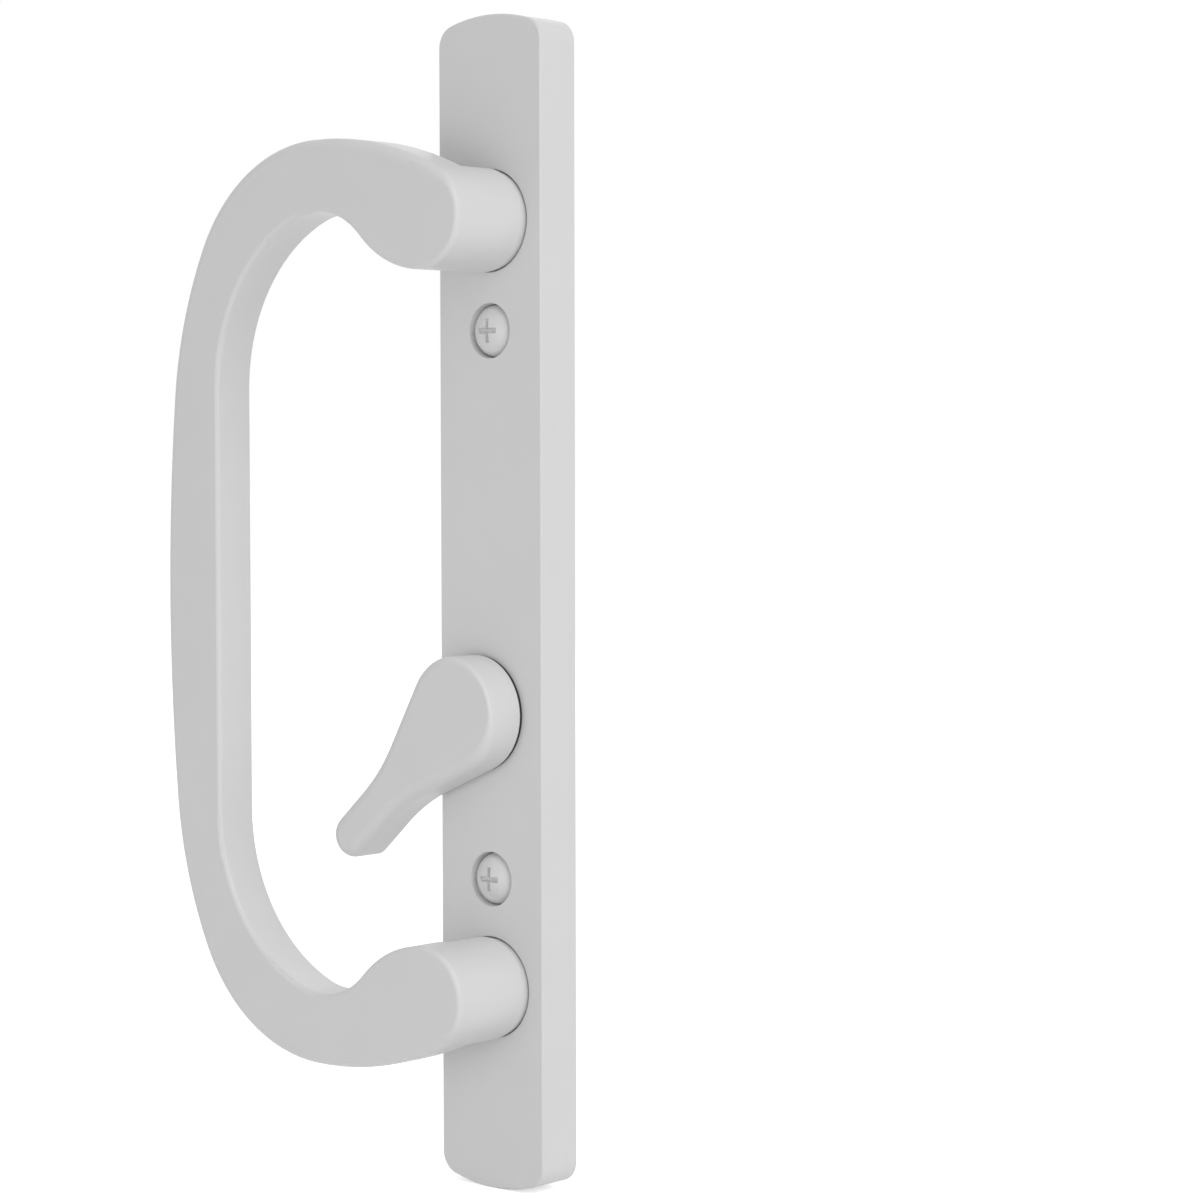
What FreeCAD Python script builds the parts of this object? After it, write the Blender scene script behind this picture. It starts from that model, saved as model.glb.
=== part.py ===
import FreeCAD, Part
import math
import os

# Sliding patio door handle: a D-shaped pull on a long escutcheon plate with a thumb-turn lever.
# Millimetres, +Z up. The back of the plate lies on Y = 0 against the door, the front faces -Y,
# and the origin is midway between the two mounting screw holes. The pull reaches out to -X.

# Escutcheon plate, a hollow casting with bowed ends
PLATE_WIDTH = 25.4
PLATE_LENGTH = 214.0
PLATE_DEPTH = 9.0
PLATE_WALL = 2.4
PLATE_END_RADIUS = 35.0
PLATE_CORNER_RADIUS = 4.0
PLATE_EDGE_BREAK = 0.3
POCKET_CORNER_RADIUS = 1.0
RIB_THICKNESS = 1.6
RIB_SETBACK = 3.0
RIB_COUNT = 2

# Mounting screw holes: a drafted recess for the screw's head, a flat seat
MOUNT_SPACING = 100.0
MOUNT_HOLE_RADIUS = 2.25
MOUNT_MOUTH_RADIUS = 5.05
MOUNT_SEAT_RADIUS = 4.8
MOUNT_SEAT_DEPTH = 2.4
MOUNT_BOSS_WALL = 2.0

# Pull: a flat bar bent to a D, round posts at its two ends
PULL_PROJECTION = 27.2
BAR_DEPTH = 8.8
BAR_OUTER_EDGE_RADIUS = 2.0
BAR_INNER_EDGE_RADIUS = 0.9
BAR_BACK_EDGE_BREAK = 0.6
POST_SPACING = 139.7
POST_RADIUS = 9.4
POST_EDGE_ANGLE = 25.0
POST_FOOT_RADIUS = 9.0
POST_FOOT_LENGTH = 1.5
POST_SINK = 1.2
POST_SINK_CLEARANCE = 0.35
POST_GAP = 0.3
SPIGOT_RADIUS = 6.0
SPIGOT_DEPTH = 1.5
SPIGOT_CLEARANCE = 0.1

# Outer outline of the D, from the grip's middle to the post
GRIP_REACH = 68.3
GRIP_BOW_RADIUS = 400.0
GRIP_BOW_ANGLE = 5.5
SHOULDER_RADIUS = 78.0
SHOULDER_ANGLE = 27.2
CORNER_RADIUS = 34.2
TOP_RADIUS = 73.3

# Inner outline of the D, from the grip's middle to the post
GRIP_INNER_REACH = 53.4
GRIP_INNER_HALF = 39.9
INNER_BEND_RADIUS = 33.0
VALLEY_RADIUS = 15.5
NECK_RADIUS = 21.5

# Screws that hold the pull from behind, with split lock washers
PULL_SCREW_RADIUS = 2.45
PULL_SCREW_GRIP = 12.0
PULL_SCREW_HEAD_RADIUS = 4.5
PULL_SCREW_HEAD_HEIGHT = 3.2
PULL_SCREW_HEAD_EDGE = 1.2
DRIVE_WIDTH = 1.1
DRIVE_LENGTH = 4.6
DRIVE_DEPTH = 1.8
TAP_CLEARANCE = 0.05
TAP_EXTRA_DEPTH = 2.0
SCREW_HOLE_CLEARANCE = 0.25
LOCK_WASHER_RADIUS = 4.4
LOCK_WASHER_THICKNESS = 1.2
LOCK_WASHER_SLIT = 0.6
POST_BOSS_RADIUS = 8.2
POST_SEAT_THICKNESS = 2.3

# Thumb lever: teardrop, pivot left of the plate's centre line and below its middle
PIVOT_X = -2.8
PIVOT_Z = -19.7
LEVER_ANGLE = 42.0
LEVER_THICKNESS = 7.8
LEVER_GAP = 0.7
HUB_RADIUS = 10.7
HUB_EDGE_ANGLE = 138.0
FLANK_ANGLE = 18.5
FLANK_RADIUS = 36.0
TAIL_LENGTH = 39.8
TAIL_HALF_WIDTH = 4.1
LEVER_EDGE_RADIUS = 2.4
HUB_EDGE_RADIUS = 0.8
TAIL_CORE_WALL = 1.7
TAIL_CORE_ROOF = 3.0

# Lever shank, its bearing in the plate and what holds it there
SHANK_RADIUS = 5.0
SHANK_END_SETBACK = 0.9
BEARING_CLEARANCE = 0.05
BEARING_LENGTH = 4.4
BEARING_BOSS_RADIUS = 8.4
THRUST_RADIUS = 10.3
STACK_PLAY = 0.05
SPRING_WASHER_RADIUS = 6.8
SPRING_WASHER_THICKNESS = 0.5
SPRING_WASHER_RISE = 0.4
FLAT_WASHER_RADIUS = 6.9
FLAT_WASHER_THICKNESS = 0.8
WASHER_BORE_CLEARANCE = 0.15
RING_THICKNESS = 0.9
RING_RADIUS = 6.9
RING_INNER_RADIUS = 5.3
RING_LUG_WIDTH = 2.6
GROOVE_RADIUS = 4.0
GROOVE_PLAY = 0.05

# Tailpiece that drives the lock, and its pin
TAILPIECE_WIDTH = 5.8
TAILPIECE_THICKNESS = 2.4
TAILPIECE_REACH = 12.0
TAILPIECE_ROOT = 1.8
TAILPIECE_TIP_TAPER = 1.2
TAILPIECE_TIP_LENGTH = 3.0
SLOT_CLEARANCE = 0.06
PIN_RADIUS = 1.0
PIN_BORE_RADIUS = 0.6
PIN_SLIT = 0.4
PIN_SETBACK = 3.0
PIN_CLEARANCE = 0.03

# Levels along Y that several pieces share
FRONT_Y = -PLATE_DEPTH
PULL_FRONT_Y = -PULL_PROJECTION
BAR_BACK_Y = PULL_FRONT_Y + BAR_DEPTH
SPIGOT_END_Y = FRONT_Y + SPIGOT_DEPTH
POST_SEAT_Y = SPIGOT_END_Y + POST_SEAT_THICKNESS
LEVER_BACK_Y = FRONT_Y - LEVER_GAP
LEVER_FRONT_Y = LEVER_BACK_Y - LEVER_THICKNESS
THRUST_FRONT_Y = LEVER_BACK_Y + STACK_PLAY
BEARING_BACK_Y = FRONT_Y + BEARING_LENGTH
SPRING_Y = BEARING_BACK_Y + STACK_PLAY
FLAT_WASHER_Y = SPRING_Y + SPRING_WASHER_THICKNESS + SPRING_WASHER_RISE + STACK_PLAY
RING_Y = FLAT_WASHER_Y + FLAT_WASHER_THICKNESS + STACK_PLAY
SHANK_END_Y = -SHANK_END_SETBACK
TAILPIECE_Y = LEVER_BACK_Y - TAILPIECE_ROOT
PIN_Y = LEVER_BACK_Y + PIN_SETBACK
POST_Z = POST_SPACING / 2
MOUNT_Z = MOUNT_SPACING / 2

NEAR = 1e-4
ALONG_Y = FreeCAD.Vector(0, 1, 0)
MIRROR_NORMAL = FreeCAD.Vector(0, 0, 1)
ORIGIN = FreeCAD.Vector(0, 0, 0)


def at(x, z, y=0.0):
    """Point from its place in the XZ plane and its level along Y."""
    return FreeCAD.Vector(x, y, z)


def rod(radius, y_from, y_to, x=0.0, z=0.0):
    """Cylinder along Y between two levels."""
    return Part.makeCylinder(radius, y_to - y_from, at(x, z, y_from), ALONG_Y)


def cone(radius_from, radius_to, y_from, y_to, x=0.0, z=0.0):
    """Cone along Y between two levels."""
    return Part.makeCone(radius_from, radius_to, y_to - y_from, at(x, z, y_from), ALONG_Y)


def ring(outer, inner, y_from, y_to, x=0.0, z=0.0):
    """Flat ring along Y between two levels."""
    return rod(outer, y_from, y_to, x, z).cut(rod(inner, y_from, y_to, x, z))


def block(x_size, z_size, y_from, y_to, x=0.0, z=0.0):
    """Box centred on a point of the XZ plane, between two levels."""
    return Part.makeBox(x_size, y_to - y_from, z_size, at(x - x_size / 2, z - z_size / 2, y_from))


def polar(centre, radius, angle):
    """Point of the XZ plane at an angle in radians from +X towards +Z."""
    return at(centre.x + radius * math.cos(angle), centre.z + radius * math.sin(angle))


def heading(start, end):
    """Angle in radians of the line from one point to another."""
    return math.atan2(end.z - start.z, end.x - start.x)


def arc(centre, radius, start, end):
    """Arc edge in the XZ plane between two angles."""
    middle = (start + end) / 2
    return Part.Arc(*[polar(centre, radius, a) for a in (start, middle, end)]).toShape()


def line(start, end):
    """Straight edge."""
    return Part.LineSegment(start, end).toShape()


def circles_meet(centre_a, radius_a, centre_b, radius_b, turn):
    """Point where two circles cross, on the side that turn (1 or -1) names."""
    span = centre_b - centre_a
    along = (radius_a**2 - radius_b**2 + span.Length**2) / (2 * span.Length)
    half_angle = math.acos(along / radius_a)
    return polar(centre_a, radius_a, heading(centre_a, centre_b) + turn * half_angle)


def prism(edges, y_from, y_to):
    """Solid between two levels over a closed outline drawn at Y = 0."""
    wire = Part.Wire(Part.__sortEdges__(edges))
    solid = Part.Face(wire).extrude(ALONG_Y * (y_to - y_from))
    solid.translate(ALONG_Y * y_from)
    return solid


def edges_at(shape, level):
    """Edges that lie wholly on one level along Y."""
    return [e for e in shape.Edges
            if abs(e.BoundBox.YMin - level) < NEAR and abs(e.BoundBox.YMax - level) < NEAR]


def edges_along_y(shape):
    """Straight edges that run along Y."""
    return [e for e in shape.Edges
            if e.BoundBox.XLength < NEAR and e.BoundBox.ZLength < NEAR and e.BoundBox.YLength > NEAR]


def round_rim(shape, level, radius_at):
    """Round the rim on one level, with a radius that runs evenly from corner to corner of the outline."""
    document = FreeCAD.newDocument("rounding")
    base = document.addObject("Part::Feature", "base")
    base.Shape = shape
    rounding = document.addObject("Part::Fillet", "rounded")
    rounding.Base = base
    rim = edges_at(shape, level)
    rounding.Edges = [(i + 1, radius_at(e.Vertexes[0].Point), radius_at(e.Vertexes[-1].Point))
                      for i, e in enumerate(shape.Edges) if any(e.isSame(r) for r in rim)]
    document.recompute()
    solid = rounding.Shape.Solids[0].copy()
    FreeCAD.closeDocument(document.Name)
    return solid


def unify(shape):
    """One clean solid, with faces that lie on one surface joined."""
    return shape.removeSplitter().Solids[0]


def plate_prism(inset, corner, y_from, y_to):
    """Plate outline moved in by inset: straight sides, bowed ends, rounded corners."""
    half_width = PLATE_WIDTH / 2 - inset
    end = PLATE_LENGTH / 2 - inset
    radius = PLATE_END_RADIUS - inset
    half_angle = math.asin(half_width / radius)
    centre = at(0, end - radius)
    bow = arc(centre, radius, math.pi / 2 - half_angle, math.pi / 2 + half_angle)
    corner_z = centre.z + radius * math.cos(half_angle)
    sides = [line(at(s * half_width, -corner_z), at(s * half_width, corner_z)) for s in (-1, 1)]
    solid = prism([bow, bow.mirror(ORIGIN, MIRROR_NORMAL)] + sides, y_from, y_to)
    return solid.makeFillet(corner, edges_along_y(solid))


def rib_levels():
    """Heights of the cross ribs, evenly spaced between the upper screw boss and the lever's."""
    top = MOUNT_Z
    gap = (top - PIVOT_Z) / (RIB_COUNT + 1)
    return [top - gap * (i + 1) for i in range(RIB_COUNT)]


def mount_hole(z):
    """Mounting hole: drafted recess and clearance hole, cut from the front."""
    recess = cone(MOUNT_MOUTH_RADIUS, MOUNT_SEAT_RADIUS, FRONT_Y, FRONT_Y + MOUNT_SEAT_DEPTH, 0, z)
    return recess.fuse(rod(MOUNT_HOLE_RADIUS, FRONT_Y, 0, 0, z))


def post_seat(z):
    """Sink for a post's foot, socket for its spigot and the clearance hole of its screw."""
    sink = rod(POST_FOOT_RADIUS + POST_SINK_CLEARANCE, FRONT_Y, FRONT_Y + POST_SINK, 0, z)
    socket = rod(SPIGOT_RADIUS + SPIGOT_CLEARANCE, FRONT_Y, SPIGOT_END_Y, 0, z)
    hole = rod(PULL_SCREW_RADIUS + SCREW_HOLE_CLEARANCE, FRONT_Y, POST_SEAT_Y, 0, z)
    return sink.fuse([socket, hole])


def lever_seat():
    """Bearing bore of the lever's shank."""
    return rod(SHANK_RADIUS + BEARING_CLEARANCE, FRONT_Y, BEARING_BACK_Y, PIVOT_X, PIVOT_Z)


def escutcheon_plate():
    """Hollow casting with bosses for the mounting screws, the pull's posts and the lever."""
    outer = plate_prism(0, PLATE_CORNER_RADIUS, FRONT_Y, 0)
    outer = outer.makeChamfer(PLATE_EDGE_BREAK, edges_at(outer, FRONT_Y))
    pocket_y = FRONT_Y + PLATE_WALL
    shell = outer.cut(plate_prism(PLATE_WALL, POCKET_CORNER_RADIUS, pocket_y, 0))
    root_y = pocket_y - PLATE_WALL / 2
    mount_boss = MOUNT_MOUTH_RADIUS + MOUNT_BOSS_WALL
    solids = [rod(mount_boss, root_y, 0, 0, s * MOUNT_Z) for s in (-1, 1)]
    solids += [rod(POST_BOSS_RADIUS, root_y, POST_SEAT_Y, 0, s * POST_Z) for s in (-1, 1)]
    solids.append(rod(BEARING_BOSS_RADIUS, root_y, BEARING_BACK_Y, PIVOT_X, PIVOT_Z))
    rib_span = PLATE_WIDTH - PLATE_WALL
    solids += [block(rib_span, RIB_THICKNESS, root_y, -RIB_SETBACK, 0, z) for z in rib_levels()]
    cuts = [mount_hole(s * MOUNT_Z) for s in (-1, 1)] + [post_seat(s * POST_Z) for s in (-1, 1)]
    return unify(shell.fuse(solids).cut(cuts + [lever_seat()]))


def pull_outer_half():
    """Outer edges of the D's upper half, from the grip's bow to the foot of the post's end."""
    post = at(0, POST_Z)
    bow_end = math.pi - math.radians(GRIP_BOW_ANGLE)
    shoulder_end = math.pi - math.radians(SHOULDER_ANGLE)
    grip = at(GRIP_BOW_RADIUS - GRIP_REACH, 0)
    shoulder = polar(grip, GRIP_BOW_RADIUS - SHOULDER_RADIUS, bow_end)
    corner = polar(shoulder, SHOULDER_RADIUS - CORNER_RADIUS, shoulder_end)
    top = circles_meet(corner, TOP_RADIUS - CORNER_RADIUS, post, TOP_RADIUS - POST_RADIUS, -1)
    corner_end = heading(top, corner)
    top_end = heading(top, post)
    return [
        arc(shoulder, SHOULDER_RADIUS, bow_end, shoulder_end),
        arc(corner, CORNER_RADIUS, shoulder_end, corner_end),
        arc(top, TOP_RADIUS, corner_end, top_end),
        arc(post, POST_RADIUS, top_end, math.radians(POST_EDGE_ANGLE)),
        arc(post, POST_RADIUS, math.radians(POST_EDGE_ANGLE), -math.pi / 2),
    ]


def pull_inner_half():
    """Inner edges of the D's upper half, from the post's foot to the straight of the grip."""
    neck = at(0, POST_Z - POST_RADIUS + NECK_RADIUS)
    bend = at(INNER_BEND_RADIUS - GRIP_INNER_REACH, GRIP_INNER_HALF)
    valley = circles_meet(bend, INNER_BEND_RADIUS - VALLEY_RADIUS, neck, NECK_RADIUS + VALLEY_RADIUS, 1)
    neck_end = heading(neck, valley)
    valley_end = heading(bend, valley)
    return [
        arc(neck, NECK_RADIUS, -math.pi / 2, neck_end),
        arc(valley, VALLEY_RADIUS, neck_end + math.pi, valley_end),
        arc(bend, INNER_BEND_RADIUS, valley_end, math.pi),
    ]


def bar_rim_radius(point):
    """Rounding of the bar's front rim: large outside, small inside and round the posts' ends."""
    outside = point.x < -GRIP_INNER_REACH - NEAR or abs(point.z) > POST_Z + POST_RADIUS / 2
    return BAR_OUTER_EDGE_RADIUS if outside else BAR_INNER_EDGE_RADIUS


def pull_handle():
    """D-shaped bar, rounded at the front, with its posts, their spigots and tapped holes."""
    upper = pull_outer_half() + pull_inner_half()
    bow = math.radians(GRIP_BOW_ANGLE)
    grip = arc(at(GRIP_BOW_RADIUS - GRIP_REACH, 0), GRIP_BOW_RADIUS, math.pi - bow, math.pi + bow)
    inner = line(at(-GRIP_INNER_REACH, -GRIP_INNER_HALF), at(-GRIP_INNER_REACH, GRIP_INNER_HALF))
    lower = [edge.mirror(ORIGIN, MIRROR_NORMAL) for edge in upper]
    bar = prism(upper + lower + [grip, inner], PULL_FRONT_Y, BAR_BACK_Y)
    bar = round_rim(bar, PULL_FRONT_Y, bar_rim_radius)
    bar = bar.makeChamfer(BAR_BACK_EDGE_BREAK, edges_at(bar, BAR_BACK_Y))
    post_root_y = PULL_FRONT_Y + BAR_DEPTH / 2
    tap_y = SPIGOT_END_Y - PULL_SCREW_GRIP - TAP_EXTRA_DEPTH
    posts = []
    taps = []
    foot_y = FRONT_Y - POST_FOOT_LENGTH
    for z in (-POST_Z, POST_Z):
        posts.append(rod(POST_RADIUS, post_root_y, foot_y, 0, z))
        posts.append(cone(POST_RADIUS, POST_FOOT_RADIUS, foot_y, FRONT_Y, 0, z))
        posts.append(rod(POST_FOOT_RADIUS, FRONT_Y, FRONT_Y + POST_SINK - POST_GAP, 0, z))
        posts.append(rod(SPIGOT_RADIUS, post_root_y, SPIGOT_END_Y, 0, z))
        taps.append(rod(PULL_SCREW_RADIUS + TAP_CLEARANCE, tap_y, SPIGOT_END_Y, 0, z))
    return unify(bar.fuse(posts).cut(taps))


def pull_screw(z):
    """Pan-head screw from behind, with a cross recess."""
    head_y = POST_SEAT_Y + LOCK_WASHER_THICKNESS
    head_end_y = head_y + PULL_SCREW_HEAD_HEIGHT
    head = rod(PULL_SCREW_HEAD_RADIUS, head_y, head_end_y, 0, z)
    head = head.makeChamfer(PULL_SCREW_HEAD_EDGE, edges_at(head, head_end_y))
    shank = rod(PULL_SCREW_RADIUS, SPIGOT_END_Y - PULL_SCREW_GRIP, head_y, 0, z)
    recess_y = head_end_y - DRIVE_DEPTH
    drive = block(DRIVE_LENGTH, DRIVE_WIDTH, recess_y, head_end_y, 0, z)
    drive = drive.fuse(block(DRIVE_WIDTH, DRIVE_LENGTH, recess_y, head_end_y, 0, z))
    return unify(head.fuse(shank).cut(drive))


def pull_lock_washer(z):
    """Split ring under a screw's head."""
    bore = PULL_SCREW_RADIUS + SCREW_HOLE_CLEARANCE
    seat_end_y = POST_SEAT_Y + LOCK_WASHER_THICKNESS
    washer = ring(LOCK_WASHER_RADIUS, bore, POST_SEAT_Y, seat_end_y, 0, z)
    slit = block(LOCK_WASHER_RADIUS, LOCK_WASHER_SLIT, POST_SEAT_Y, seat_end_y, LOCK_WASHER_RADIUS / 2, z)
    return washer.cut(slit).Solids[0]


def on_pivot(shape):
    """Turn a piece drawn with its tail along +X to the lever's rest, and move it to the pivot."""
    shape.rotate(ORIGIN, ALONG_Y, -(180 + LEVER_ANGLE))
    shape.translate(at(PIVOT_X, PIVOT_Z))
    return shape


def lever_outline():
    """Teardrop: round hub, straight flanks, hollows that run tangent into a parallel tail, round tip."""
    flank_angle = math.radians(FLANK_ANGLE)
    hub_angle = math.pi / 2 - flank_angle
    edge_angle = math.radians(HUB_EDGE_ANGLE)
    flank = polar(ORIGIN, HUB_RADIUS, hub_angle)
    tail_x = (flank.x + (flank.z - TAIL_HALF_WIDTH) / math.tan(flank_angle)
              + FLANK_RADIUS * math.tan(flank_angle / 2))
    hollow = at(tail_x, TAIL_HALF_WIDTH + FLANK_RADIUS)
    hollow_start = -math.pi / 2 - flank_angle
    tip_x = TAIL_LENGTH - TAIL_HALF_WIDTH
    upper = [
        line(flank, polar(hollow, FLANK_RADIUS, hollow_start)),
        arc(hollow, FLANK_RADIUS, hollow_start, -math.pi / 2),
        line(at(tail_x, TAIL_HALF_WIDTH), at(tip_x, TAIL_HALF_WIDTH)),
    ]
    lower = [edge.mirror(ORIGIN, MIRROR_NORMAL) for edge in upper]
    hub = [arc(ORIGIN, HUB_RADIUS, hub_angle, edge_angle),
           arc(ORIGIN, HUB_RADIUS, edge_angle, 2 * math.pi - hub_angle)]
    tip = arc(at(tip_x, 0), TAIL_HALF_WIDTH, -math.pi / 2, math.pi / 2)
    return hub + [tip] + upper + lower


def lever_rim_radius(point):
    """Rounding of the lever's front rim: full along the tail, crisp at the back of the hub."""
    return HUB_EDGE_RADIUS if point.x < -HUB_RADIUS / 2 else LEVER_EDGE_RADIUS


def thumb_lever():
    """Lever with its shank, ring groove, tailpiece slot and pin hole, and a cored tail."""
    body = prism(lever_outline(), LEVER_FRONT_Y, LEVER_BACK_Y)
    body = round_rim(body, LEVER_FRONT_Y, lever_rim_radius)
    core_half = TAIL_HALF_WIDTH - TAIL_CORE_WALL
    core_end = TAIL_LENGTH - TAIL_CORE_WALL - core_half
    core_start = HUB_RADIUS + core_half
    core_y = LEVER_FRONT_Y + TAIL_CORE_ROOF
    core = block(core_end - core_start, 2 * core_half, core_y, LEVER_BACK_Y, (core_start + core_end) / 2)
    core = core.fuse([rod(core_half, core_y, LEVER_BACK_Y, x) for x in (core_start, core_end)])
    shank = rod(SHANK_RADIUS, LEVER_BACK_Y, SHANK_END_Y)
    groove = ring(SHANK_RADIUS, GROOVE_RADIUS, RING_Y - GROOVE_PLAY, RING_Y + RING_THICKNESS + GROOVE_PLAY)
    slot_y = TAILPIECE_Y - SLOT_CLEARANCE
    gap = 2 * SLOT_CLEARANCE
    slot = block(TAILPIECE_WIDTH + gap, TAILPIECE_THICKNESS + gap, slot_y, SHANK_END_Y)
    cuts = [core, groove, slot, cross_rod(PIN_RADIUS + PIN_CLEARANCE)]
    return on_pivot(unify(body.fuse(shank).cut(cuts)))


def cross_rod(radius):
    """Cylinder across the shank, through the flat of the tailpiece."""
    return Part.makeCylinder(radius, 2 * SHANK_RADIUS, at(0, -SHANK_RADIUS, PIN_Y), MIRROR_NORMAL)


def tailpiece():
    """Flat bar with a tapered tip."""
    end_y = TAILPIECE_REACH
    taper_y = end_y - TAILPIECE_TIP_LENGTH
    half = TAILPIECE_WIDTH / 2
    tip_half = half - TAILPIECE_TIP_TAPER
    corners = [(-half, TAILPIECE_Y), (half, TAILPIECE_Y), (half, taper_y), (tip_half, end_y),
               (-tip_half, end_y), (-half, taper_y)]
    low_z = -TAILPIECE_THICKNESS / 2
    wire = Part.makePolygon([at(x, low_z, y) for x, y in corners + corners[:1]])
    bar = Part.Face(wire).extrude(MIRROR_NORMAL * TAILPIECE_THICKNESS)
    return on_pivot(unify(bar.cut(cross_rod(PIN_RADIUS + PIN_CLEARANCE))))


def tailpiece_pin():
    """Slotted spring pin across the shank."""
    pin = cross_rod(PIN_RADIUS).common(rod(SHANK_RADIUS, PIN_Y - PIN_RADIUS, PIN_Y + PIN_RADIUS))
    slit = Part.makeBox(PIN_SLIT, PIN_RADIUS, 2 * SHANK_RADIUS, at(-PIN_SLIT / 2, -SHANK_RADIUS, PIN_Y))
    return on_pivot(unify(pin.cut([cross_rod(PIN_BORE_RADIUS), slit])))


def lever_thrust_washer():
    """Thin washer that fills the gap between the hub and the plate."""
    bore = SHANK_RADIUS + WASHER_BORE_CLEARANCE
    return ring(THRUST_RADIUS, bore, THRUST_FRONT_Y, FRONT_Y, PIVOT_X, PIVOT_Z)


def lever_spring_washer():
    """Conical washer, resting on the plate's boss with its wide end."""
    bore = SHANK_RADIUS + WASHER_BORE_CLEARANCE
    thick = SPRING_WASHER_THICKNESS
    corners = [(SPRING_WASHER_RADIUS, SPRING_Y), (SPRING_WASHER_RADIUS, SPRING_Y + thick),
               (bore, SPRING_Y + thick + SPRING_WASHER_RISE), (bore, SPRING_Y + SPRING_WASHER_RISE)]
    wire = Part.makePolygon([at(x, 0, y) for x, y in corners + corners[:1]])
    return on_pivot(unify(Part.Face(wire).revolve(ORIGIN, ALONG_Y, 360)))


def lever_flat_washer():
    """Flat washer between the spring washer and the retaining ring."""
    bore = SHANK_RADIUS + WASHER_BORE_CLEARANCE
    back_y = FLAT_WASHER_Y + FLAT_WASHER_THICKNESS
    return ring(FLAT_WASHER_RADIUS, bore, FLAT_WASHER_Y, back_y, PIVOT_X, PIVOT_Z)


def lever_retaining_ring():
    """E-shaped ring: three lugs bear in the shank's groove, one side is open."""
    back_y = RING_Y + RING_THICKNESS
    band = ring(RING_RADIUS, RING_INNER_RADIUS, RING_Y, back_y)
    lug_start = GROOVE_RADIUS + GROOVE_PLAY
    lug_length = (RING_RADIUS + RING_INNER_RADIUS) / 2 - lug_start
    lugs = []
    for angle in (90, 180, 270):
        lug = block(lug_length, RING_LUG_WIDTH, RING_Y, back_y, lug_start + lug_length / 2)
        lug.rotate(ORIGIN, ALONG_Y, angle)
        lugs.append(lug)
    mouth = block(RING_RADIUS, 2 * lug_start, RING_Y, back_y, RING_RADIUS / 2)
    whole = band.cut(mouth).fuse(lugs).cut(rod(lug_start, RING_Y, back_y))
    return on_pivot(unify(whole))


def build():
    """Every node by name."""
    both = (-POST_Z, POST_Z)
    return {
        "escutcheon_plate": escutcheon_plate(),
        "pull_handle": pull_handle(),
        "pull_screws": Part.makeCompound([pull_screw(z) for z in both]),
        "pull_lock_washers": Part.makeCompound([pull_lock_washer(z) for z in both]),
        "thumb_lever": thumb_lever(),
        "lever_thrust_washer": lever_thrust_washer(),
        "lever_spring_washer": lever_spring_washer(),
        "lever_flat_washer": lever_flat_washer(),
        "lever_retaining_ring": lever_retaining_ring(),
        "tailpiece": tailpiece(),
        "tailpiece_pin": tailpiece_pin(),
    }


os.makedirs("parts", exist_ok=True)
for node, shape in build().items():
    shape.exportStep(os.path.join("parts", node + ".step"))
    print(node, "solids", len(shape.Solids), "valid", shape.isValid(), "volume", round(shape.Volume, 1))
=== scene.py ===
"""White sliding patio door handle: finishes, mounting screws, a black ring of painted shade at the
lever's washer, studio and camera.

Lengths are metres in the part's own frame: the back of the plate lies on Y = 0, the front faces -Y,
+Z is up and the origin is midway between the two mounting holes.
"""
import logging
import math
from dataclasses import dataclass
from enum import Enum
from typing import Any

import bpy
import numpy as np
from mathutils import Matrix, Vector


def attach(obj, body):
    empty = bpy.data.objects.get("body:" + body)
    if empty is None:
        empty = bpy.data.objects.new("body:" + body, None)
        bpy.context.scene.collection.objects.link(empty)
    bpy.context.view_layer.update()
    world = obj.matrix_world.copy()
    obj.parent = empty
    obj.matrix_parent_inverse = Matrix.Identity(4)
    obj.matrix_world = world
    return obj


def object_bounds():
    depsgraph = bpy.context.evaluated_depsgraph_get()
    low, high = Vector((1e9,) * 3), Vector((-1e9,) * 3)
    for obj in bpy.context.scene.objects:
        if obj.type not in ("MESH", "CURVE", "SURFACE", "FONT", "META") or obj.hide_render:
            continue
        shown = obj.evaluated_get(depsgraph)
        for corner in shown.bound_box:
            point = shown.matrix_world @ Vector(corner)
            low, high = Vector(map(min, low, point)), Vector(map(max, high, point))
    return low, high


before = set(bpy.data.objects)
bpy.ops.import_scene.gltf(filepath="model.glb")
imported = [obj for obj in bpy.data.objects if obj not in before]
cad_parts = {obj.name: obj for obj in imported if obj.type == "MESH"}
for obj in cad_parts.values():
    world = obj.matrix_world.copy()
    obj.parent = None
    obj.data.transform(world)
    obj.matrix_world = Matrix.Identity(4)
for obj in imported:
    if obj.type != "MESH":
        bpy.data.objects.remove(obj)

CAD_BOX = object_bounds()
MM = 0.001
# Where the lever's axis meets the plate: across and up.
LEVER_PIVOT_MM = (-2.8, -19.7)
# Blender's wave texture runs through this many radians in one unit of its scaled coordinates.
WAVE_RADIANS = 20.0
LOG = logging.getLogger("door_handle")


class Body(Enum):
    """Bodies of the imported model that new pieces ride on."""

    HANDLE = "handle"


class Grain(Enum):
    """Ways the tool marks of a steel piece run."""

    TURNED = "rings round the piece's axis"
    DRAWN = "lines along the bar"


def linear(colour: str) -> tuple[float, float, float, float]:
    """Turn an sRGB hex colour to linear light.

    Args:
        colour: Six hex digits after a hash sign.

    Returns:
        Linear red, green and blue, and an alpha of one.
    """
    srgb = np.array([int(colour[i:i + 2], 16) for i in (1, 3, 5)]) / 255
    light = np.where(srgb <= 0.04045, srgb / 12.92, ((srgb + 0.055) / 1.055) ** 2.4)
    return (*light.tolist(), 1.0)


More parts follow.
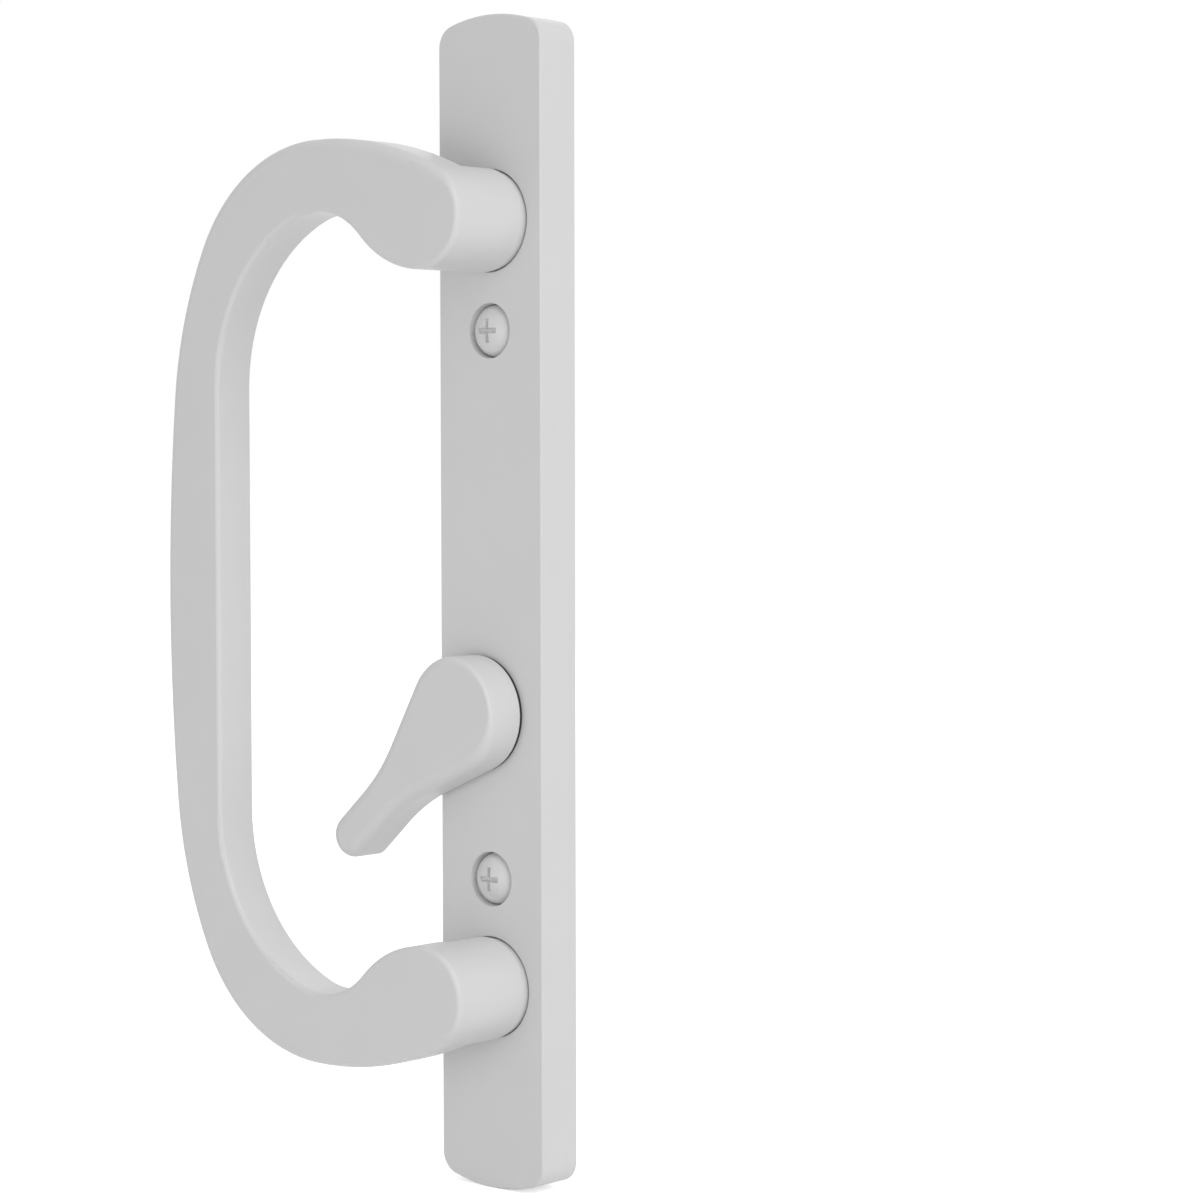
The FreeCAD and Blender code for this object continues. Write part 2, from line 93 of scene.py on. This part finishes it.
def add_node(
    tree: bpy.types.NodeTree,
    kind: str,
    settings: dict[str, Any] | None = None,
    inputs: dict[str | int, Any] | None = None,
) -> bpy.types.Node:
    """Add a node with its settings, constant inputs and links.

    Args:
        tree: Node tree of a material or the world.
        kind: Blender's identifier of the node's type.
        settings: Attributes of the node.
        inputs: Constants, or output sockets to link, by the input's name or number.

    Returns:
        The new node.
    """
    node = tree.nodes.new(kind)
    for name, value in (settings or {}).items():
        setattr(node, name, value)
    for name, value in (inputs or {}).items():
        if isinstance(value, bpy.types.NodeSocket):
            tree.links.new(value, node.inputs[name])
        else:
            node.inputs[name].default_value = value
    return node


def fresh_tree(owner: Any) -> bpy.types.NodeTree:
    """Empty the node tree of a material or the world.

    Args:
        owner: The material or world.

    Returns:
        Its empty tree.
    """
    owner.use_nodes = True
    owner.node_tree.nodes.clear()
    return owner.node_tree


def blend(
    tree: bpy.types.NodeTree, share: bpy.types.NodeSocket, first: str, second: str
) -> bpy.types.NodeSocket:
    """Blend from one colour to another.

    Args:
        tree: Node tree to add to.
        share: Socket with the second colour's share.
        first: sRGB hex colour at a share of zero.
        second: sRGB hex colour at a share of one.

    Returns:
        Socket with the blended colour.
    """
    # Colour sockets of the mix node go by number, because its kinds of value share their names.
    mix = add_node(tree, "ShaderNodeMix", {"data_type": "RGBA"}, {
        "Factor": share, 6: linear(first), 7: linear(second)})
    return mix.outputs[2]


def relief(
    tree: bpy.types.NodeTree, pattern: bpy.types.NodeSocket, height_mm: float
) -> bpy.types.NodeSocket:
    """Shade a surface as if a pattern stood out of it.

    Args:
        tree: Node tree to add to.
        pattern: Socket with the pattern, from zero to one.
        height_mm: Height where the pattern is one.

    Returns:
        Socket with the surface's direction.
    """
    bump = add_node(tree, "ShaderNodeBump", inputs={
        "Height": pattern, "Strength": 1.0, "Distance": height_mm * MM})
    return bump.outputs["Normal"]


def add_object(name: str, points: np.ndarray, faces: list[list[int]]) -> bpy.types.Object:
    """Make a mesh object that sits at the origin, with its place in its mesh.

    Args:
        name: Name of the object and its mesh.
        points: Places in metres, one row each.
        faces: Numbers of each face's points, in order round it as seen from outside.

    Returns:
        The new object.
    """
    mesh = bpy.data.meshes.new(name)
    mesh.from_pydata(points.tolist(), [], faces)
    made = bpy.data.objects.new(name, mesh)
    bpy.context.scene.collection.objects.link(made)
    return made


def soft_strip(half: float, edge: float, place: np.ndarray) -> np.ndarray:
    """Run smoothly from one inside a strip to zero outside it.

    Args:
        half: Half the strip's width.
        edge: Width over which it fades, centred on the strip's edge.
        place: Places across the strip, from its middle.

    Returns:
        Share between zero and one, on a curve that starts and ends level.
    """
    share = np.clip((half - np.abs(place)) / edge + 0.5, 0, 1)
    return share * share * (3 - 2 * share)


@dataclass(frozen=True)
class WhitePowderCoat:
    """Satin white powder coat, sprayed and baked on die-cast zinc and on screw heads.

    The baked coat flows out to a smooth satin skin with a faint orange peel: soft, wide highlights that
    break up slightly, and a neutral white that is a breath greyer where the film is thinner.
    """

    name: str = "satin_white_powder_coat_on_die_cast_zinc"
    colour: str = "#DCDCDC"
    thin_colour: str = "#D8D8D8"
    roughness_low: float = 0.40
    roughness_high: float = 0.50
    ior: float = 1.5
    peel_mm: float = 1.3
    peel_height_mm: float = 0.005
    film_mm: float = 14.0

    def build(self) -> bpy.types.Material:
        """Make the material.

        Returns:
            The new material.
        """
        material = bpy.data.materials.new(self.name)
        tree = fresh_tree(material)
        place = add_node(tree, "ShaderNodeTexCoord").outputs["Object"]
        # Film thickness drifts over about a finger's width.
        film = add_node(tree, "ShaderNodeTexNoise", inputs={
            "Vector": place, "Scale": 1 / (self.film_mm * MM), "Detail": 2.0, "Roughness": 0.45})
        tint = blend(tree, film.outputs["Fac"], self.colour, self.thin_colour)
        # Orange peel: shallow cells a little over a millimetre wide.
        peel = add_node(tree, "ShaderNodeTexNoise", inputs={
            "Vector": place, "Scale": 1 / (self.peel_mm * MM), "Detail": 1.5, "Roughness": 0.4})
        gloss = add_node(tree, "ShaderNodeMapRange", inputs={
            "Value": peel.outputs["Fac"], "To Min": self.roughness_low, "To Max": self.roughness_high})
        normal = relief(tree, peel.outputs["Fac"], self.peel_height_mm)
        shader = add_node(tree, "ShaderNodeBsdfPrincipled", inputs={
            "Base Color": tint, "Roughness": gloss.outputs["Result"], "IOR": self.ior,
            "Normal": normal})
        add_node(tree, "ShaderNodeOutputMaterial", inputs={"Surface": shader.outputs["BSDF"]})
        return material


@dataclass(frozen=True)
class ZincPlatedSteel:
    """Machined or drawn steel with a bright zinc plating.

    The plating follows the tool marks below it, so a turned face shows fine rings and a drawn bar shows
    lines along its length, with a cool, slightly cloudy metal gloss.
    """

    name: str
    grain: Grain
    centre_mm: tuple[float, float] = (0.0, 0.0)
    colour: str = "#C3C8CC"
    cloudy_colour: str = "#AEB3B6"
    roughness_low: float = 0.26
    roughness_high: float = 0.40
    mark_mm: float = 0.45
    mark_height_mm: float = 0.004
    drawn_stretch: float = 0.03
    cloud_mm: float = 2.5

    def tool_marks(self, tree: bpy.types.NodeTree, place: bpy.types.NodeSocket) -> bpy.types.NodeSocket:
        """Draw the tool marks, at up to half a millimetre: coarser than real ones, so that they show.

        Args:
            tree: Node tree to add to.
            place: Object coordinates.

        Returns:
            Socket with the marks' height, from zero to one.
        """
        if self.grain is Grain.DRAWN:
            stretched = add_node(tree, "ShaderNodeMapping", inputs={
                "Vector": place, "Scale": (1.0, self.drawn_stretch, 1.0)})
            return add_node(tree, "ShaderNodeTexNoise", inputs={
                "Vector": stretched.outputs["Vector"], "Scale": 1 / (self.mark_mm * MM),
                "Detail": 3.0}).outputs["Fac"]
        if self.centre_mm[1] > 0:
            # Screws come in pairs, equally far above and below the middle, and each has its own rings.
            place = add_node(
                tree, "ShaderNodeVectorMath", {"operation": "ABSOLUTE"}, {0: place}).outputs[0]
        centred = add_node(tree, "ShaderNodeMapping", inputs={
            "Vector": place, "Location": (-self.centre_mm[0] * MM, 0.0, -self.centre_mm[1] * MM)})
        return add_node(tree, "ShaderNodeTexWave", {"wave_type": "RINGS", "rings_direction": "Y"}, {
            "Vector": centred.outputs["Vector"], "Scale": math.tau / WAVE_RADIANS / (self.mark_mm * MM),
            "Distortion": 0.4, "Detail": 2.0}).outputs["Fac"]

    def build(self) -> bpy.types.Material:
        """Make the material.

        Returns:
            The new material.
        """
        material = bpy.data.materials.new(self.name)
        tree = fresh_tree(material)
        place = add_node(tree, "ShaderNodeTexCoord").outputs["Object"]
        clouds = add_node(tree, "ShaderNodeTexNoise", inputs={
            "Vector": place, "Scale": 1 / (self.cloud_mm * MM), "Detail": 3.0})
        tint = blend(tree, clouds.outputs["Fac"], self.colour, self.cloudy_colour)
        gloss = add_node(tree, "ShaderNodeMapRange", inputs={
            "Value": clouds.outputs["Fac"], "To Min": self.roughness_low, "To Max": self.roughness_high})
        normal = relief(tree, self.tool_marks(tree, place), self.mark_height_mm)
        shader = add_node(tree, "ShaderNodeBsdfPrincipled", inputs={
            "Base Color": tint, "Metallic": 1.0, "Roughness": gloss.outputs["Result"],
            "Normal": normal})
        add_node(tree, "ShaderNodeOutputMaterial", inputs={"Surface": shader.outputs["BSDF"]})
        return material


@dataclass(frozen=True)
class PhosphatedSpringSteel:
    """Stamped spring steel with an oiled phosphate finish.

    Fine crystals make it a dark, sooty grey with a dull sheen, speckled a little lighter where it rubs.
    """

    name: str = "oiled_phosphate_on_stamped_spring_steel"
    colour: str = "#3A3B3D"
    speck_colour: str = "#5A5B5D"
    roughness: float = 0.55
    metallic: float = 0.7
    crystal_mm: float = 0.35
    crystal_height_mm: float = 0.006

    def build(self) -> bpy.types.Material:
        """Make the material.

        Returns:
            The new material.
        """
        material = bpy.data.materials.new(self.name)
        tree = fresh_tree(material)
        place = add_node(tree, "ShaderNodeTexCoord").outputs["Object"]
        # Real crystals are some hundredths of a millimetre: drawn larger so that the speckle shows.
        crystals = add_node(tree, "ShaderNodeTexNoise", inputs={
            "Vector": place, "Scale": 1 / (self.crystal_mm * MM), "Detail": 4.0, "Roughness": 0.6})
        tint = blend(tree, crystals.outputs["Fac"], self.colour, self.speck_colour)
        normal = relief(tree, crystals.outputs["Fac"], self.crystal_height_mm)
        shader = add_node(tree, "ShaderNodeBsdfPrincipled", inputs={
            "Base Color": tint, "Metallic": self.metallic, "Roughness": self.roughness,
            "Normal": normal})
        add_node(tree, "ShaderNodeOutputMaterial", inputs={"Surface": shader.outputs["BSDF"]})
        return material


@dataclass(frozen=True)
class BlackNylon:
    """Black nylon, injection moulded.

    A deep, slightly warm black whose fine matt mould skin greys a little where light grazes it.
    """

    name: str = "black_moulded_nylon"
    colour: str = "#141413"
    skin_colour: str = "#1F1F1E"
    roughness: float = 0.52
    ior: float = 1.53
    skin_mm: float = 0.5
    skin_height_mm: float = 0.004

    def build(self) -> bpy.types.Material:
        """Make the material.

        Returns:
            The new material.
        """
        material = bpy.data.materials.new(self.name)
        tree = fresh_tree(material)
        place = add_node(tree, "ShaderNodeTexCoord").outputs["Object"]
        skin = add_node(tree, "ShaderNodeTexNoise", inputs={
            "Vector": place, "Scale": 1 / (self.skin_mm * MM), "Detail": 2.0})
        tint = blend(tree, skin.outputs["Fac"], self.colour, self.skin_colour)
        normal = relief(tree, skin.outputs["Fac"], self.skin_height_mm)
        shader = add_node(tree, "ShaderNodeBsdfPrincipled", inputs={
            "Base Color": tint, "Roughness": self.roughness, "IOR": self.ior,
            "Normal": normal})
        add_node(tree, "ShaderNodeOutputMaterial", inputs={"Surface": shader.outputs["BSDF"]})
        return material


def dress(node: str, material: bpy.types.Material) -> None:
    """Put a material in every slot of a CAD node.

    Args:
        node: Name of the node.
        material: Its finish.
    """
    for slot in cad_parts[node].material_slots:
        slot.material = material
    LOG.info("%s dressed in %s", node, material.name)


@dataclass
class Castings:
    """The three coated castings: plate, pull and thumb lever."""

    nodes: tuple[str, ...] = ("escutcheon_plate", "pull_handle", "thumb_lever")
    coat: WhitePowderCoat = WhitePowderCoat()

    def dress(self) -> None:
        """Give all the castings one coat, as one batch comes out of the oven."""
        material = self.coat.build()
        for node in self.nodes:
            dress(node, material)


@dataclass
class PullFixings:
    """Screws and split washers that hold the pull from behind the plate."""

    post_height_mm: float = 69.85

    def dress(self) -> None:
        """Plate the screws, with turned rings round each one's axis, and phosphate their washers."""
        screws = ZincPlatedSteel(
            "bright_zinc_plate_on_turned_steel", Grain.TURNED, (0.0, self.post_height_mm))
        dress("pull_screws", screws.build())
        dress("pull_lock_washers", PhosphatedSpringSteel().build())


@dataclass
class MountingScrews:
    """Two domed screws with coated heads and a cross recess, seated in the plate's recesses."""

    name: str = "mounting_screws"
    height_mm: float = 50.0
    seat_mm: float = -6.6
    head_radius_mm: float = 4.74
    rim_mm: float = 0.4
    dome_mm: float = 3.0
    wing_half_mm: float = 0.42
    wing_reach_mm: float = 2.1
    wing_depth_mm: float = 1.3
    wing_edge_mm: float = 0.14
    floor_rise: float = 0.55
    shank_radius_mm: float = 2.0
    thread_depth_mm: float = 0.28
    pitch_mm: float = 0.8
    tip_mm: float = 6.0
    columns: int = 128
    dome_rows: int = 56
    shank_rows: int = 96
    sharp_deg: float = 40.0

    def profile(self) -> tuple[np.ndarray, np.ndarray]:
        """Work out the outline that is turned round the screw's axis.

        A quarter ellipse makes the dome, a short upright the rim, a flat the underside, then the shank
        runs straight back and its tip narrows by half the shank's radius over that same length.

        Returns:
            Radius and level along the axis, in millimetres, from the dome's pole to the tip's.
        """
        angle = np.linspace(0, math.pi / 2, self.dome_rows)
        rim = self.seat_mm - self.rim_mm
        taper = self.shank_radius_mm / 2
        shank = np.linspace(self.seat_mm, self.tip_mm - taper, self.shank_rows)
        radius = np.concatenate([
            self.head_radius_mm * np.sin(angle), [self.head_radius_mm],
            np.full_like(shank, self.shank_radius_mm), [taper, 0.0]])
        level = np.concatenate([
            rim - self.dome_mm * np.cos(angle), [self.seat_mm], shank, [self.tip_mm, self.tip_mm]])
        return radius, level

    def cross_depth(self, x: np.ndarray, z: np.ndarray) -> np.ndarray:
        """Work out how far the cross recess goes in below each point of the dome.

        A wing is a strip with soft edges: full depth inside its half width and its reach, none outside.
        Two such strips at right angles make the cross, and its floor rises towards the wings' ends.

        Args:
            x: Places across the head, in millimetres.
            z: Places up the head, in millimetres.

        Returns:
            Depth in millimetres.
        """
        half, reach, edge = self.wing_half_mm, self.wing_reach_mm, self.wing_edge_mm
        level_wing = soft_strip(reach, edge, x) * soft_strip(half, edge, z)
        upright_wing = soft_strip(half, edge, x) * soft_strip(reach, edge, z)
        floor = 1 - self.floor_rise * np.clip(np.hypot(x, z) / reach, 0, 1)
        return self.wing_depth_mm * floor * np.maximum(level_wing, upright_wing)

    def surface(self) -> np.ndarray:
        """Turn the profile round the axis, cut the cross and wind the thread.

        The thread's groove deepens and fades as a triangle wave of level over pitch less turn, so it
        climbs one pitch in a turn.

        Returns:
            Points in millimetres about the screw's own axis: profile rows by columns round it, by three.
        """
        radius, level = (v[:, None] for v in self.profile())
        turn = np.arange(self.columns)[None, :] / self.columns
        wave = np.abs(2 * ((level / self.pitch_mm - turn) % 1) - 1)
        threaded = (level > self.seat_mm + self.pitch_mm) & (level < self.tip_mm)
        radius = radius - self.thread_depth_mm * wave * threaded
        x = radius * np.cos(math.tau * turn)
        z = radius * np.sin(math.tau * turn)
        on_dome = np.arange(len(level))[:, None] < self.dome_rows
        y = level + np.where(on_dome, self.cross_depth(x, z), 0.0)
        return np.stack([x, y, z], axis=-1)

    def faces(self, rows: int) -> tuple[np.ndarray, np.ndarray]:
        """Join the points of one screw.

        Rows next to each other are joined by four-sided faces and the last column meets the first. Fans
        join the first and last rows to the two poles, whose points follow those of the rows.

        Args:
            rows: Number of rows between the poles.

        Returns:
            The four-sided faces, row by row, and the fans, the head's first.
        """
        row, column = np.meshgrid(np.arange(rows - 1), np.arange(self.columns), indexing="ij")
        following = (column + 1) % self.columns
        quads = np.stack([
            row * self.columns + column, (row + 1) * self.columns + column,
            (row + 1) * self.columns + following, row * self.columns + following], axis=-1)
        first = np.arange(self.columns)
        after = (first + 1) % self.columns
        last_row = (rows - 1) * self.columns
        head_pole = np.full_like(first, rows * self.columns)
        fans = np.concatenate([
            np.stack([head_pole, first, after], axis=-1),
            np.stack([head_pole + 1, last_row + after, last_row + first], axis=-1)])
        return quads.reshape(-1, 4), fans

    def build(self) -> bpy.types.Object:
        """Make both screws as one piece that rides with the plate.

        Returns:
            The screws' object.
        """
        grid = self.surface()
        rows = len(grid) - 2
        one = np.concatenate([grid[1:-1].reshape(-1, 3), grid[:1, 0], grid[-1:, 0]])
        quads, fans = self.faces(rows)
        raised = np.array([0.0, 0.0, self.height_mm])
        points = np.concatenate([one - raised, one + raised]) * MM
        lower = quads.tolist() + fans.tolist()
        upper = (quads + len(one)).tolist() + (fans + len(one)).tolist()
        screws = add_object(self.name, points, lower + upper)
        # The head's faces take the first material, the shank's the second.
        head_faces = (self.dome_rows - 1) * self.columns
        on_shank = np.concatenate([
            np.arange(len(quads)) >= head_faces, np.arange(len(fans)) >= self.columns]).astype(int)
        screws.data.polygons.foreach_set("material_index", np.tile(on_shank, 2))
        screws.data.shade_smooth()
        screws.data.set_sharp_from_angle(angle=math.radians(self.sharp_deg))
        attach(screws, Body.HANDLE.value)
        LOG.info("%s built with %d points", self.name, len(points))
        return screws

    def dress(self, screws: bpy.types.Object) -> None:
        """Coat the heads like the plate and plate the shanks.

        Args:
            screws: The object that build made.
        """
        head = WhitePowderCoat(
            "satin_white_powder_coat_on_screw_heads", roughness_low=0.30, roughness_high=0.38)
        shank = ZincPlatedSteel("bright_zinc_plate_on_screw_shanks", Grain.TURNED, (0.0, self.height_mm))
        screws.data.materials.append(head.build())
        screws.data.materials.append(shank.build())


@dataclass
class GapShadeRing:
    """Thin black ring round the lever's nylon washer at the hub's edge: painted shade that darkens the
    gap under the hub.
    """

    name: str = "painted_gap_shade_ring"
    pivot_mm: tuple[float, float] = LEVER_PIVOT_MM
    ring_radius_mm: float = 10.43
    half_width_mm: float = 0.2
    level_mm: float = -9.35
    half_height_mm: float = 0.33
    squareness: float = 0.35
    columns: int = 160
    rows: int = 24

    def surface(self) -> np.ndarray:
        """Carry a rounded square round the pivot.

        The square is a superellipse: cosine and sine of its angle, each raised to a power below one with
        its sign kept. The first reaches across the lip, the second through its height.

        Returns:
            Points in millimetres: columns round the pivot by rows round the section, by three.
        """
        turn = math.tau * np.arange(self.columns)[:, None] / self.columns
        angle = math.tau * np.arange(self.rows)[None, :] / self.rows
        across = np.sign(np.cos(angle)) * np.abs(np.cos(angle)) ** self.squareness
        along = np.sign(np.sin(angle)) * np.abs(np.sin(angle)) ** self.squareness
        radius = self.ring_radius_mm + self.half_width_mm * across
        x = self.pivot_mm[0] + radius * np.cos(turn)
        z = self.pivot_mm[1] + radius * np.sin(turn)
        y = np.broadcast_to(self.level_mm + self.half_height_mm * along, x.shape)
        return np.stack([x, y, z], axis=-1)

    def build(self) -> bpy.types.Object:
        """Make the ring of painted shade, closed both ways round.

        Returns:
            The ring's object.
        """
        points = self.surface().reshape(-1, 3) * MM
        column, row = np.meshgrid(np.arange(self.columns), np.arange(self.rows), indexing="ij")
        ahead = (column + 1) % self.columns
        above = (row + 1) % self.rows
        faces = np.stack([
            column * self.rows + row, column * self.rows + above,
            ahead * self.rows + above, ahead * self.rows + row], axis=-1).reshape(-1, 4)
        shade_ring = add_object(self.name, points, faces.tolist())
        shade_ring.data.shade_smooth()
        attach(shade_ring, Body.HANDLE.value)
        LOG.info("%s built with %d points", self.name, len(points))
        return shade_ring

    def dress(self, shade_ring: bpy.types.Object) -> None:
        """Give the ring the washer's black nylon: painted shade in the gap under the hub's edge.

        Args:
            shade_ring: The object that build made.
        """
        # Black painted shade for the gap under the hub's edge.
        shade_ring.data.materials.append(BlackNylon(name="black_painted_gap_shade").build())


@dataclass
class LeverStack:
    """Washers, ring, tailpiece and pin on the lever's shank."""

    pivot_mm: tuple[float, float] = LEVER_PIVOT_MM

    def dress(self) -> None:
        """Dress every piece of the stack."""
        spring = PhosphatedSpringSteel("oiled_phosphate_on_lever_springs").build()
        for node in ("lever_spring_washer", "lever_retaining_ring", "tailpiece_pin"):
            dress(node, spring)
        flat = ZincPlatedSteel("bright_zinc_plate_on_stamped_washer", Grain.TURNED, self.pivot_mm)
        dress("lever_flat_washer", flat.build())
        bar = ZincPlatedSteel("bright_zinc_plate_on_drawn_bar", Grain.DRAWN, mark_mm=0.3)
        dress("tailpiece", bar.build())
        # The washer's black is its nylon's own colour and is also painted shade for the gap under the
        # hub's edge.
        dress("lever_thrust_washer", BlackNylon().build())


@dataclass(frozen=True)
class SoftLamp:
    """Oblong studio lamp that faces the object."""

    name: str
    place: tuple[float, float, float]
    width: float
    height: float
    watts: float

    def build(self) -> None:
        """Hang the lamp in its place, turned to the object and unseen by the camera."""
        data = bpy.data.lights.new(self.name, "AREA")
        data.shape = "RECTANGLE"
        data.size = self.width
        data.size_y = self.height
        data.energy = self.watts
        lamp = bpy.data.objects.new(self.name, data)
        bpy.context.scene.collection.objects.link(lamp)
        lamp.location = self.place
        lamp.rotation_euler = Vector(self.place).to_track_quat("Z", "Y").to_euler()
        lamp.visible_camera = False


@dataclass
class Studio:
    """White floor, even surroundings, a large key lamp and two weak fill lamps."""

    floor_half: float = 6.0
    floor_cells: int = 24
    floor_colour: str = "#F4F4F4"
    floor_glow: float = 0.57
    surround: float = 0.51
    key: SoftLamp = SoftLamp("soft_key_lamp", (2.10, -0.33, 1.45), 2.0, 2.0, 28.0)
    fill: SoftLamp = SoftLamp("front_fill_lamp", (0.10, -0.42, -0.01), 0.4, 0.17, 0.22)
    back: SoftLamp = SoftLamp("back_fill_lamp", (-0.45, 1.20, 0.55), 1.0, 1.0, 2.6)

    def build(self) -> None:
        """Make the floor, the world and the lamps."""
        self.build_floor()
        self.build_world()
        self.key.build()
        self.fill.build()
        self.back.build()

    def build_floor(self) -> None:
        """Lay a flat square sheet of cells at the level of the plate's lower end."""
        side = self.floor_cells + 1
        u, v = np.meshgrid(np.linspace(-1, 1, side), np.linspace(-1, 1, side), indexing="ij")
        level = np.full_like(u, CAD_BOX[0].z)
        points = np.stack([u * self.floor_half, v * self.floor_half, level], axis=-1).reshape(-1, 3)
        corner = (np.arange(side - 1)[:, None] * side + np.arange(side - 1)[None, :]).ravel()
        faces = np.stack([corner, corner + side, corner + side + 1, corner + 1], axis=-1)
        floor = add_object("studio_floor", points, faces.tolist())
        floor.data.materials.append(self.floor_material())
        LOG.info("floor laid at %.4f m", CAD_BOX[0].z)

    def background_rays(self, tree: bpy.types.NodeTree) -> bpy.types.NodeSocket:
        """Find the rays that see the background: straight, mirrored or through something clear.

        Args:
            tree: Node tree to add to.

        Returns:
            Socket that is 1 for such rays and 0 for the rest.
        """
        path = add_node(tree, "ShaderNodeLightPath").outputs
        seen = add_node(tree, "ShaderNodeMath", {"operation": "MAXIMUM"}, {
            0: path["Is Camera Ray"], 1: path["Is Glossy Ray"]})
        return add_node(tree, "ShaderNodeMath", {"operation": "MAXIMUM"}, {
            0: seen.outputs[0], 1: path["Is Transmission Ray"]}).outputs[0]

    def floor_material(self) -> bpy.types.Material:
        """Make matt paper that shows white to the camera and still takes the object's shadow.

        Returns:
            The floor's material.
        """
        material = bpy.data.materials.new("matt_white_studio_paper")
        tree = fresh_tree(material)
        glow = add_node(tree, "ShaderNodeMath", {"operation": "MULTIPLY"}, {
            0: self.background_rays(tree), 1: self.floor_glow})
        shader = add_node(tree, "ShaderNodeBsdfPrincipled", inputs={
            "Base Color": linear(self.floor_colour), "Roughness": 1.0, "Specular IOR Level": 0.0,
            "Emission Color": linear("#FFFFFF"), "Emission Strength": glow.outputs[0]})
        add_node(tree, "ShaderNodeOutputMaterial", inputs={"Surface": shader.outputs["BSDF"]})
        return material

    def build_world(self) -> None:
        """Surround the scene with even white light, seen as plain white behind the object."""
        world = bpy.data.worlds.new("studio_surround")
        bpy.context.scene.world = world
        tree = fresh_tree(world)
        strength = add_node(tree, "ShaderNodeMapRange", inputs={
            "Value": self.background_rays(tree), "To Min": self.surround, "To Max": 1.0})
        light = add_node(tree, "ShaderNodeBackground", inputs={
            "Color": linear("#FFFFFF"), "Strength": strength.outputs["Result"]})
        add_node(tree, "ShaderNodeOutputWorld", inputs={"Surface": light.outputs["Background"]})


@dataclass(frozen=True)
class PhotoCamera:
    """Camera that sees the handle from the photograph's side, with no shift."""

    azimuth_deg: float = 41.5
    elevation_deg: float = 2.75
    roll_deg: float = -0.1
    place: tuple[float, float, float] = (0.4138, -0.44658, 0.02997)
    lens_mm: float = 99.27
    sensor_mm: float = 36.0
    nearest: float = 0.01

    def build(self) -> None:
        """Make the camera and hand it to the scene.

        The view's back direction comes from azimuth and elevation, right lies level, and the roll turns
        right and up about the line of sight.
        """
        a, e, r = (math.radians(d) for d in (self.azimuth_deg, self.elevation_deg, self.roll_deg))
        back = Vector((math.sin(a) * math.cos(e), -math.cos(a) * math.cos(e), math.sin(e)))
        right = Vector((math.cos(a), math.sin(a), 0.0))
        up = back.cross(right)
        axes = (right * math.cos(r) + up * math.sin(r), up * math.cos(r) - right * math.sin(r), back)
        data = bpy.data.cameras.new("photo_camera")
        data.lens = self.lens_mm
        data.sensor_width = self.sensor_mm
        data.clip_start = self.nearest
        camera = bpy.data.objects.new("photo_camera", data)
        bpy.context.scene.collection.objects.link(camera)
        camera.matrix_world = Matrix.Translation(self.place) @ Matrix(axes).transposed().to_4x4()
        bpy.context.scene.camera = camera


def main() -> None:
    """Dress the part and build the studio."""
    logging.basicConfig(level=logging.INFO, format="%(name)s: %(message)s")
    bpy.context.scene.view_settings.view_transform = "Standard"
    Castings().dress()
    PullFixings().dress()
    LeverStack().dress()
    screws = MountingScrews()
    screws.dress(screws.build())
    # A black ring of painted shade in the gap under the lever's hub.
    shade_ring = GapShadeRing()
    shade_ring.dress(shade_ring.build())
    Studio().build()
    PhotoCamera().build()


if __name__ == "__main__":
    main()
